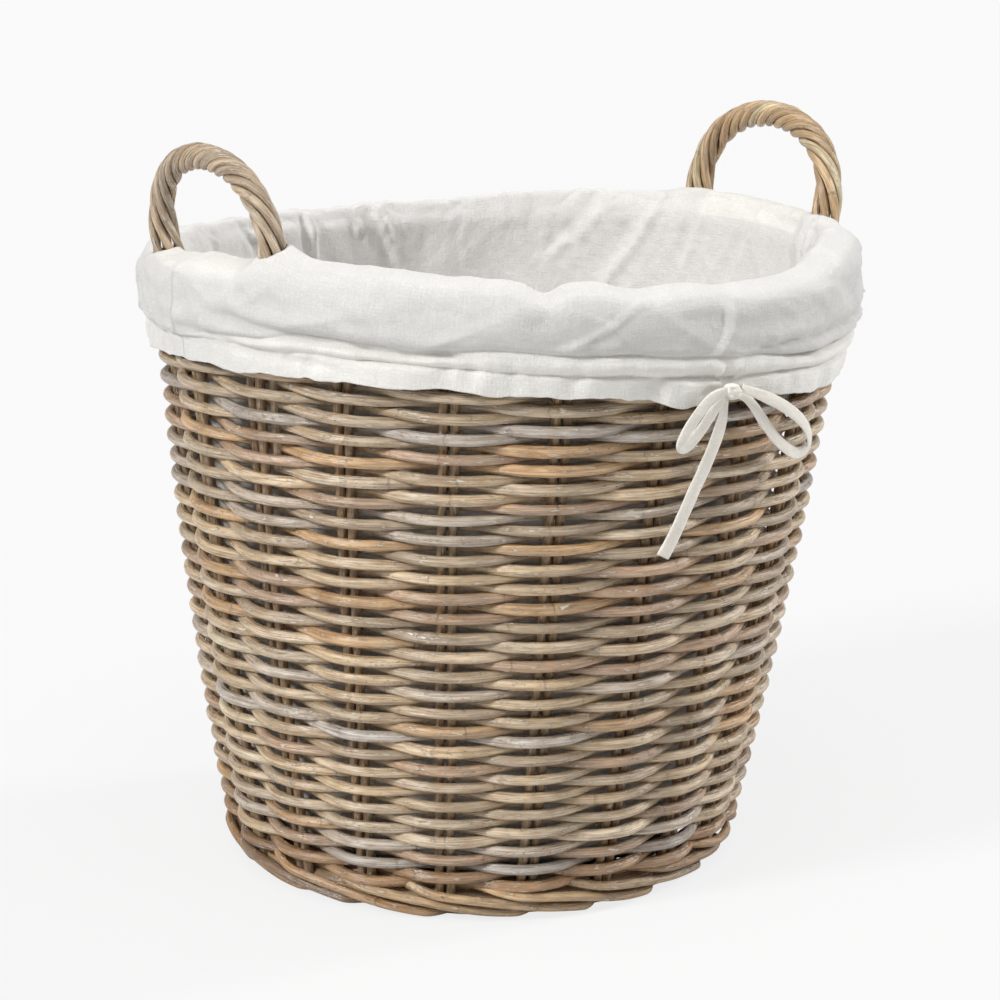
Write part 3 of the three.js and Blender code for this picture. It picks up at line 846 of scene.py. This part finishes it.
def make_base():
    lift = STICK_HALF + 0.00015
    for layer, bundle in enumerate(("lower", "upper")):
        for i in range(STICKS_PER_BUNDLE):
            side = i - (STICKS_PER_BUNDLE - 1) / 2
            fan = math.radians(180 / (2 * STICKS_PER_BUNDLE)) * side
            offset = side * (2 * STICK_HALF + 0.0003)
            z = BASE_MIDDLE + (lift if layer else -lift)
            half = [(0.012, offset, z), (0.028, offset * 1.25, z)]
            reach = (*BASE_RADII[:2], BASE_RADII[2] + 0.004)
            half += [(r * math.cos(fan), r * math.sin(fan), BASE_MIDDLE) for r in reach]
            points = [(-x, y, h) for x, y, h in reversed(half)] + half
            path = spline(points, 90)
            if layer:
                path = path[:, [1, 0, 2]] * (-1, 1, 1)
            canes = Canes()
            canes.add(path + [*AXIS, 0], (0, 0, 1), STICK_HALF, STICK_HALF, pick_tone(STAKE_TONES), 10)
            name = f"base_{bundle}_stick_{i + 1:02d}"
            canes.build(name, STAKE, f"base_stick_{bundle}_{i + 1:02d}")
    spokes = 4 * STICKS_PER_BUNDLE
    travel = STICK_HALF + BASE_WEAVER
    for k in range(2):
        canes = Canes()
        inner, outer = BASE_RADII[k] + BASE_WEAVER + 0.0005, BASE_RADII[k + 1] - BASE_WEAVER
        for i, radius in enumerate(np.arange(inner, outer, 2 * BASE_WEAVER)):
            angle = np.linspace(0, 360, 16 * spokes + 1)
            phase = np.radians(angle) * spokes / 2 + (i + k) * np.pi
            path = wall_point(angle, radius, BASE_MIDDLE + travel * np.cos(phase))
            canes.add(path, outward(angle), BASE_WEAVER, BASE_WEAVER, pick_tone(FOOT_TONES), 8)
        canes.build(f"base_weavers_{k + 1:02d}", CANE, f"base_course_{k + 1:02d}")


make_base()


# ---- Handles ----
ARCH_START = 0.003
HANDLE_SWELL = 0.16
HANDLE_TOP = 0.505
HANDLE_LEG = 0.125
LEG_BEND = 0.009
STRANDS = 6
STRAND_TURNS = 2.8
CORE_HALF = 0.0034
HANDLES = [
    {"name": "right", "angle": 0, "legs": (-17.7, 18.8), "feet": (-18.4, 19.6), "reach": 0.005,
     "lean": 9, "orbit": 0.0068, "thick": 0.0058},
    {"name": "left", "angle": 180, "legs": (162.9, 199.2), "feet": (162.7, 200.9), "reach": 0.003,
     "lean": 5, "orbit": 0.0063, "thick": 0.0053},
]


def handle_feet(handle):
    z = BORDER_TOP + ARCH_START
    return [wall_point(a, stake_radius(z) + handle["reach"], z) for a in handle["feet"]]


def arch_points(handle, t):
    """The hoop's middle line, with t from 0 at one foot to 1 at the other."""
    first, second = handle_feet(handle)
    middle, chord = (first + second) / 2, (second - first) / 2
    lean = math.radians(handle["lean"])
    up = outward(handle["angle"]) * math.sin(lean) + np.array([0, 0, math.cos(lean)])
    rise = (HANDLE_TOP - middle[2]) / up[2]
    turn = (np.pi * np.asarray(t))[:, None]
    return middle - chord * np.cos(turn) * (1 + HANDLE_SWELL * np.sin(turn)) + up * rise * np.sin(turn)


def leg_points(handle, side):
    z = BORDER_TOP - np.linspace(HANDLE_LEG, BORDER_HEIGHT, 4)
    straight = wall_point(handle["legs"][side], stake_radius(z), z)
    z = BORDER_TOP - LEG_BEND
    turn = (handle["legs"][side] * 2 + handle["feet"][side]) / 3
    bend = wall_point(turn, stake_radius(z) + handle["reach"] / 3, z)
    return np.vstack([straight, bend[None]])


def make_handle(handle, seed):
    """A core rod, wound with twisted strands that splay at their feet."""
    arch = arch_points(handle, np.linspace(0, 1, 33))
    first, second = leg_points(handle, 0), leg_points(handle, 1)[::-1]
    name = handle["name"]
    tones = HANDLE_TONES[name]
    core = Canes()
    route = spline(np.vstack([first, arch, second]), 160)
    core.add(route, outward(handle["angle"]), CORE_HALF, CORE_HALF, pick_tone(tones), 10)
    core.build(f"core_{name}", HANDLE, f"handle_core_{name}")
    line = spline(np.vstack([first[-1:], arch, second[:1]]), 240)
    run = run_along(line)
    from_foot = np.minimum(run, run[-1] - run)
    ahead = heading(line)
    flat = square_to(ahead, outward(handle["angle"]))
    across = np.cross(ahead, flat)
    splay = 1 + 0.30 * (1 - smoothstep(from_foot, 0.0, 0.042))
    share = run / run[-1] - 0.5
    wound = share + 0.07 * np.sin(2 * np.pi * share)
    for i in range(STRANDS):
        wander = 0.10 * line_noise(run / 0.05, seed + i)
        turn = 2 * np.pi * (i / STRANDS) - 2 * np.pi * STRAND_TURNS * wound + wander
        orbit = handle["orbit"] * splay * (1 + 0.07 * line_noise(run / 0.035, seed + 20 + i))
        path = line + flat * (orbit * np.cos(turn))[:, None] + across * (orbit * np.sin(turn))[:, None]
        away = unit(path - line)
        uneven = 0.07 * line_noise(run / 0.06, seed + 40 + i)
        size = handle["thick"] / 2 * (1 + uneven + 0.05 * math.sin(i * 2.4))
        strand = Canes()
        strand.add(path, away, size * 1.06, size * 0.94, pick_tone(tones))
        strand_name = f"strand_{name}_{i + 1:02d}"
        strand.build(strand_name, HANDLE, f"handle_{strand_name}")


for number, handle in enumerate(HANDLES):
    make_handle(handle, 5000 + 100 * number)


# ---- Liner: one cotton cloth, turned over the rim outside and hanging as a bag inside ----
BAG_INSET = 0.0108
BAG_FLOOR = 0.0285
BAG_CORNER = 0.022
CLOTH_HALF = 0.00045
SLOT_RADIUS = 0.0098
MEETING = 0.398  # where the collar's cloth goes on as the bag's
COLUMNS = 640
COLLAR_ROWS = 118
SEAM_ANGLE = 32.0
FLAP_ANGLE = 29
SQUASHED_ANGLE = -64  # where the channel is pressed flat against the weave
FOLD_RADIUS = 0.235  # turns the folds' degrees into lengths
PUCKER_REACH = 0.0041  # metres to a degree
FLOOR_ROWS = 20
CLOTH_TURN = 0.225  # the radius that turns an angle into a place in the cloth's weave
SINGLE_CLOTH = linear(233, 231, 228)
BODY_CLOTH = linear(217, 216, 213)  # single cloth with dark canes close behind it
DOUBLE_CLOTH = linear(243, 241, 236)


def toward(tint, colour, share):
    """The tint at each point, moved by a share of the way to a colour."""
    share = share[..., None]
    return tint * (1 - share) + np.array([*colour, 1]) * share


def loft_sheet(name, grid, cloth, outside, doubled, keep):
    """A sheet of cloth with thickness, from a grid of points that closes round the basket."""
    rows, columns = grid.shape[:2]
    count = rows * columns
    ahead = np.roll(grid, -1, axis=1) - np.roll(grid, 1, axis=1)
    down = np.gradient(grid, axis=0)
    normal = unit(np.cross(ahead, down))
    verts = np.concatenate([grid + normal * CLOTH_HALF, grid - normal * CLOTH_HALF]).reshape(-1, 3)
    index = np.arange(count).reshape(rows, columns)
    side = np.roll(index, -1, axis=1)
    cells = np.stack([index[:-1], index[1:], side[1:], side[:-1]], -1).reshape(-1, 4)
    cells = cells[keep.reshape(-1)]
    edges = np.concatenate([cells[:, [k, (k + 1) % 4]] for k in range(4)])
    codes = edges[:, 0] * count + edges[:, 1]
    backward = edges[:, 1] * count + edges[:, 0]
    rim = edges[~np.isin(codes, backward)]
    walls = np.stack([rim[:, 1], rim[:, 0], rim[:, 0] + count, rim[:, 1] + count], -1)
    piece = make_mesh(name, verts, np.vstack([cells, cells[:, ::-1] + count, walls]))
    store(piece, "cloth", np.concatenate([cloth.reshape(-1, 3)] * 2))
    tint = toward(np.array([*SINGLE_CLOTH, 1]), BODY_CLOTH, outside)
    tint = toward(tint, DOUBLE_CLOTH, np.clip(doubled, 0, 1))
    store(piece, "tint", np.concatenate([tint.reshape(-1, 4)] * 2))
    return piece


# From here on, phi is the angle in degrees from the basket's front.
def round_noise(phi, cell, seed):
    """Smooth noise round the basket, the same at every height."""
    return ring_noise(phi, 0.0, cell, 1, seed)


def fold(phi, z, crease):
    """One of BAG_FOLDS or COLLAR_FOLDS: a groove along a line, with a ridge above it."""
    first, low, last, high, width, depth, ridge = np.array(crease) / (1, 1000, 1, 1000, 1000, 1000, 1)
    reach = FOLD_RADIUS * math.pi / 180
    line = np.array([(last - first) * reach, high - low])
    length = np.hypot(*line)
    x, y = turned(phi - first) * reach, z - low
    along = (x * line[0] + y * line[1]) / length**2
    beside = (y * line[0] - x * line[1]) / length + 0.0030 * ring_noise(phi, z, 7, 0.030, 31)
    fade = smoothstep(along, -0.10, 0.15) * (1 - smoothstep(along, 0.80, 1.12))
    return depth * fade * (0.6 * ridge * bell(beside, 2.1 * width, 1.9 * width) - bell(beside, 0, width))


# Where the crest rises or dips: by how many millimetres, at which angle, and how wide.
CREST_RISES = [
    (-7, 6.4, 2.6), (5, 29, 6), (-1, 52, 8), (6, 80, 15), (2, 135, 14), (7, -37, 4.5), (-10, -77, 17),
    (-6, -122, 20), (-2, -165, 20),
]


def crest_lift(phi):
    """How far the turned-over crest stands above its plain height, round the basket."""
    near = smoothstep(phi, -44, -34) * (1 - smoothstep(phi, 12, 24))
    lift = 0.0075 * near
    for rise, middle, width in CREST_RISES:
        lift += rise / 1000 * bell(phi, middle, width)
    return lift + 0.0013 * round_noise(phi, 8, 61) + 0.0006 * round_noise(phi, 2.6, 62)


# Each crease: the angle and height of its start and of its end, its width, its depth and its ridge's
# share of that. The lengths are in millimetres.
BAG_FOLDS = [
    (143, 447, 158, 365, 4.8, 2.6, 0.7), (152, 442, 170, 385, 4, 2.4, 0.9),
    (133, 444, 139, 380, 3.6, 1.8, 0.9), (118, 436, 128, 352, 4.4, 2.2, 0.7),
    (100, 446, 90, 380, 3.4, 4, 0.9), (90, 440, 70, 395, 3.6, 3.2, 0.9),
    (-170, 446, 179, 370, 4, 2.8, 0.8), (-152, 446, -163, 360, 4, 4, 0.9),
    (-147, 446, -150, 412, 2.8, 2.6, 0.9), (-139, 447, -138, 330, 2.2, 5.2, 0.8),
    (-128, 446, -118, 390, 3.4, 3, 0.8), (-120, 440, -126, 400, 2.6, 2.8, 0.9),
    (-112, 440, -104, 404, 2.8, 2.8, 0.9), (64, 445, 80, 385, 4, 3.6, 0.9),
    (-20, 440, -34, 360, 4, 3, 0.8), (30, 440, 20, 350, 4, 3.5, 0.8),
]
COLLAR_FOLDS = [
    (-46, 406, -4, 396.5, 3.4, 5.6, 0.9), (-30, 404, 8, 399, 5, 1.6, 0.9),
    (40, 399, 100, 393, 2.6, 3.4, 1.0), (50, 386, 104, 379, 2.4, 3, 1.0),
    (-60, 392, -24, 384, 3.4, 2.4, 0.7), (-50, 425, -34, 412, 8, 1.4, 0.8),
    (24, 428, 52, 408, 7, 1.4, 0.8), (44, 438, 64, 398, 6, 1.8, 0.6), (58, 440, 76, 402, 6.5, 1.8, 0.6),
    (-12, 430, 16, 412, 9, 1.4, 0.8), (84, 430, 98, 390, 5, 2.6, 0.7),
    (104, 394, 150, 414, 4.5, 2.6, 0.7), (-150, 392, -112, 412, 4.5, 2.6, 0.7),
    (-178, 420, -158, 396, 6, 2, 0.7), (162, 396, 176, 422, 5, 2.2, 0.7),
]


def creases(phi, z, cell, height, lean, seed):
    """Thin ridges that wander over the cloth, leaning by so many degrees for each metre of height."""
    wander = ring_noise(phi + lean * z, z, cell, height, seed)
    return (1 - np.minimum(np.abs(wander) * 2.2, 1)) ** 2


def puckers(phi, z):
    """Small folds that run out from the bow's knot."""
    x, y = turned(phi - (BOW_ANGLE - FRONT)) * PUCKER_REACH, z - KNOT[2] / 1000 - 0.002
    away = np.hypot(x, y)
    wave = np.cos(9 * np.arctan2(y, x) + 120 * x)
    return 0.0026 * wave * np.exp(-away / 0.020) * smoothstep(away, 0.003, 0.009)


def bag_slack(phi, z):
    """How far the bag's wall hangs in from its tightest line."""
    slack = 0.0020 * (1 + ring_noise(phi, z, 13, 0.30, 21)) + 0.0010 * (1 + ring_noise(phi, z, 5, 0.10, 22))
    slack += 0.0005 * (1 + ring_noise(phi, z, 2.2, 0.035, 23))
    slack += 0.0010 * creases(phi, z, 9, 0.120, 160, 24)
    slack += 0.0009 * creases(phi, z, 5, 0.080, -220, 25)
    for crease in BAG_FOLDS:
        slack -= fold(phi, z, crease)
    return np.maximum(slack, 0.0) * smoothstep(z, 0.050, 0.090)


def bag_radius(phi, z):
    return stake_radius(z) - BAG_INSET - bag_slack(phi, z)


def between_feet(phi):
    """Where the cloth passes between a handle's feet, from 0 to 1."""
    near = [np.abs(turned(phi - (h["angle"] - FRONT))) for h in HANDLES]
    return 1 - smoothstep(np.minimum(*near), 14.5, 16.5)


def collar_section(phi, hem, low, high, squashed):
    """The collar's (radius, height) places, from the bag up over the crest and down to the hem."""
    lift = crest_lift(phi)
    hug = 1 - 0.5 * squashed
    top = stake_radius(COLLAR_CREST)
    crest = COLLAR_CREST - 0.001
    ruck = bag_slack(phi, 0.426)
    inner = [MEETING, MEETING + 0.010, MEETING + 0.021]
    channel, frill = (high + low) / 2, (low + hem) / 2
    hanging = [(channel, 0.0078), (low, 0.0046), (frill, 0.0044), (hem, 0.0038)]
    section = [
        *[(bag_radius(phi, z), z) for z in inner],
        (top - 0.0090 - ruck, crest - 0.0085 + 0.9 * lift),
        (top - 0.0050 - 0.8 * ruck, crest + 0.0004 + lift - 0.25 * ruck),
        (top + 0.0030 - 0.4 * ruck, crest - 0.0006 + lift - 0.25 * ruck),
        (outer_radius(0.431) - 0.0005, crest - 0.0062 + 0.9 * lift),
        (outer_radius(0.418) + 0.0058, 0.418 + 0.4 * lift),
        (outer_radius(high + 0.006) + 0.0072, high + 0.0065),
        (outer_radius(high) + 0.0060, high),
        *[(outer_radius(z) + out * hug, z) for z, out in hanging],
    ]
    return np.stack([stacked(r, z + 0 * phi) for r, z in section])


def collar_surface(angle):
    """The collar's middle surface, its outside and doubled parts, and the faces that its slots leave."""
    phi = turned(angle - FRONT)
    hem = hem_height(angle) + 0.0014 * round_noise(phi, 5, 71) + 0.0008 * round_noise(phi, 1.5, 72)
    hem = hem - 0.0055 * bell(phi, 28.5, 3.2) - 0.003 * bell(phi, 60, 7)
    low = hem_height(angle) + FRILL + 0.0011 * round_noise(phi, 7, 73)
    squashed = bell(phi, SQUASHED_ANGLE, 28)
    high = low + CHANNEL * (1 - 0.72 * squashed) + 0.0030 * round_noise(phi, 11, 74)
    keys = collar_section(phi, hem, low, high, squashed)
    spans = len(keys) - 1
    at = np.linspace(0, spans, COLLAR_ROWS)
    part = np.minimum(at.astype(int), spans - 1)
    padded = np.concatenate([2 * keys[:1] - keys[1:2], keys, 2 * keys[-1:] - keys[-2:-1]])
    place = curve_between(*(padded[part + k] for k in range(4)), (at - part)[:, None, None])
    radius, z = place[..., 0], place[..., 1]

    # The outer face and the crown over the rim, by where a row lies among the section's places.
    outer = smoothstep(at, 5.5, 7.0)[:, None]
    crown = (smoothstep(at, 2.2, 3.8) * (1 - smoothstep(at, 5.0, 6.8)))[:, None]
    above = smoothstep(z, high, high + 0.004) * outer
    body = (outer + 0.8 * crown) * smoothstep(z, high - 0.002, high + 0.004)
    frill = outer * smoothstep(low - z, -0.0005, 0.004)

    # How far the cloth is pushed out: slack and creases, then folds, channel, frill, flap and seam.
    push = 0.0018 * ring_noise(phi, z, 17, 0.045, 5) * (outer + crown)
    push += 0.0009 * ring_noise(phi, z, 6, 0.020, 6) * (outer + 0.7 * crown)
    push += 0.0005 * ring_noise(phi, z, 2.2, 0.009, 7) * outer
    push += body * 0.0020 * creases(phi, z, 10, 0.030, -380, 11)
    push += body * 0.0014 * creases(phi, z, 6, 0.022, 300, 12)
    push += 0.8 * outer * puckers(phi, z)
    for crease in COLLAR_FOLDS:
        push += outer * fold(phi, z, crease)
    firm = ((1 - 0.95 * squashed) * (0.8 + 0.35 * round_noise(phi, 9, 75)))[None]
    push -= outer * firm * (0.0032 * bell(z, high + 0.0006, 0.0016) + 0.0036 * bell(z, low, 0.0017))
    gathers = ring_noise(phi, z, 1.9, 0.030, 8)
    push += outer * 0.0017 * gathers * np.exp(-np.abs(z - low) / 0.009)
    ruffle = 0.0019 * ring_noise(phi, z, 2.7, 0.050, 9) + 0.0015 * ring_noise(phi, z, 8, 0.060, 10)
    push += frill * ruffle
    push += frill * 0.0045 * (bell(phi, FLAP_ANGLE, 4.0) - 1.1 * bell(phi, FLAP_ANGLE - 4.8, 1.2))
    beside = phi - SEAM_ANGLE - 2.6 * np.sin(np.clip((z - 0.398) / 0.046, 0, 1) * np.pi)
    seam = smoothstep(beside, -0.2, 0.1) * (1 - smoothstep(beside, 1.8, 2.2)) * above
    push += 0.0005 * seam - 0.0012 * above * bell(beside, 0.0, 0.35)
    least = outer_radius(z) + 0.0012 - radius
    radius += np.where(outer > 0.5, np.maximum(push, least), push)

    doubled = outer * (1 - smoothstep(z, high - 0.001, high + 0.003)) * (1 - 0.6 * squashed) + 0.8 * seam
    doubled += between_feet(phi) * smoothstep(z, 0.4235, 0.4245) * (1 - outer)
    grid, keep = open_slots(wall_point(angle, radius, z))
    return grid, np.broadcast_to(outer, radius.shape), doubled, keep


def open_slots(grid):
    """Opens a hole in the collar round each leg of the handles, drawn in to the leg."""
    rows, columns = grid.shape[:2]
    keep = np.ones((rows - 1, columns), bool)
    for handle in HANDLES:
        for ends in ((0, 0.16), (1, 0.84)):
            leg = arch_points(handle, np.linspace(*ends, 12))
            direction = unit(leg[4] - leg[0])
            foot = leg[0] - direction * 0.02
            height = np.sum((grid - foot) * direction, -1)
            sideways = grid - foot - height[..., None] * direction
            distance = np.linalg.norm(sideways, axis=-1)
            near = (height > 0.004) & (height < 0.050)
            hole = near & (distance < SLOT_RADIUS)
            side = np.roll(hole, -1, axis=1)
            keep &= ~(hole[:-1] & hole[1:] & side[:-1] & side[1:])
            snap = foot + height[..., None] * direction + unit(sideways) * SLOT_RADIUS
            grid[hole] = snap[hole]
            lip = near[..., None] * bell(distance, SLOT_RADIUS, 0.005)[..., None]
            grid += lip * np.array([0, 0, 0.0018])
    return grid, keep


def bag_surface(angle):
    """The bag's middle surface, from the middle of its floor up to where the collar's cloth begins."""
    phi = turned(angle - FRONT)
    z = np.linspace(MEETING, BAG_FLOOR + BAG_CORNER, 84)[:, None]
    inner = bag_radius(phi, z)
    walls = wall_point(angle, inner, z)
    bend = np.linspace(0, np.pi / 2, 11)[1:, None]
    corner_radius = inner[-1] - BAG_CORNER * (1 - np.cos(bend))
    bends = wall_point(angle, corner_radius, BAG_FLOOR + BAG_CORNER * (1 - np.sin(bend)))
    share = np.linspace(1, 0.004, FLOOR_ROWS + 1)[1:, None]
    floor_radius = corner_radius[-1] * share
    xy = floor_radius[..., None] * outward(angle)[:, :2]
    crumple = noise3(np.concatenate([xy / 0.05, 0 * xy[..., :1]], -1), 23)
    height = BAG_FLOOR + 0.0011 * (1 + crumple) * smoothstep(1 - share, 0.0, 0.15)
    floors = wall_point(angle, floor_radius, height)
    return np.concatenate([walls, bends, floors])[::-1]


def make_liner():
    angle = np.linspace(-180, 180, COLUMNS, endpoint=False)
    bag = bag_surface(angle)[:-1]
    collar, outside, doubled, keep = collar_surface(angle)
    grid = np.concatenate([bag, collar])
    step = np.linalg.norm(np.diff(grid, axis=0), axis=-1).mean(1)
    down = np.concatenate([[0], np.cumsum(step)])
    cloth = stacked(np.radians(angle) * CLOTH_TURN, down[:, None], 0.0)
    cloth[:FLOOR_ROWS, :, :2] = grid[:FLOOR_ROWS, :, :2]
    plain = np.zeros(bag.shape[:2])
    outside, doubled = np.concatenate([[plain, plain], [outside, doubled]], axis=1)
    keep = np.concatenate([plain == 0, keep])
    piece = loft_sheet("liner_cloth", grid, cloth, outside, doubled, keep)
    finish_piece(piece, COTTON, "liner_bag", "liner_collar", "drawstring_band")


make_liner()
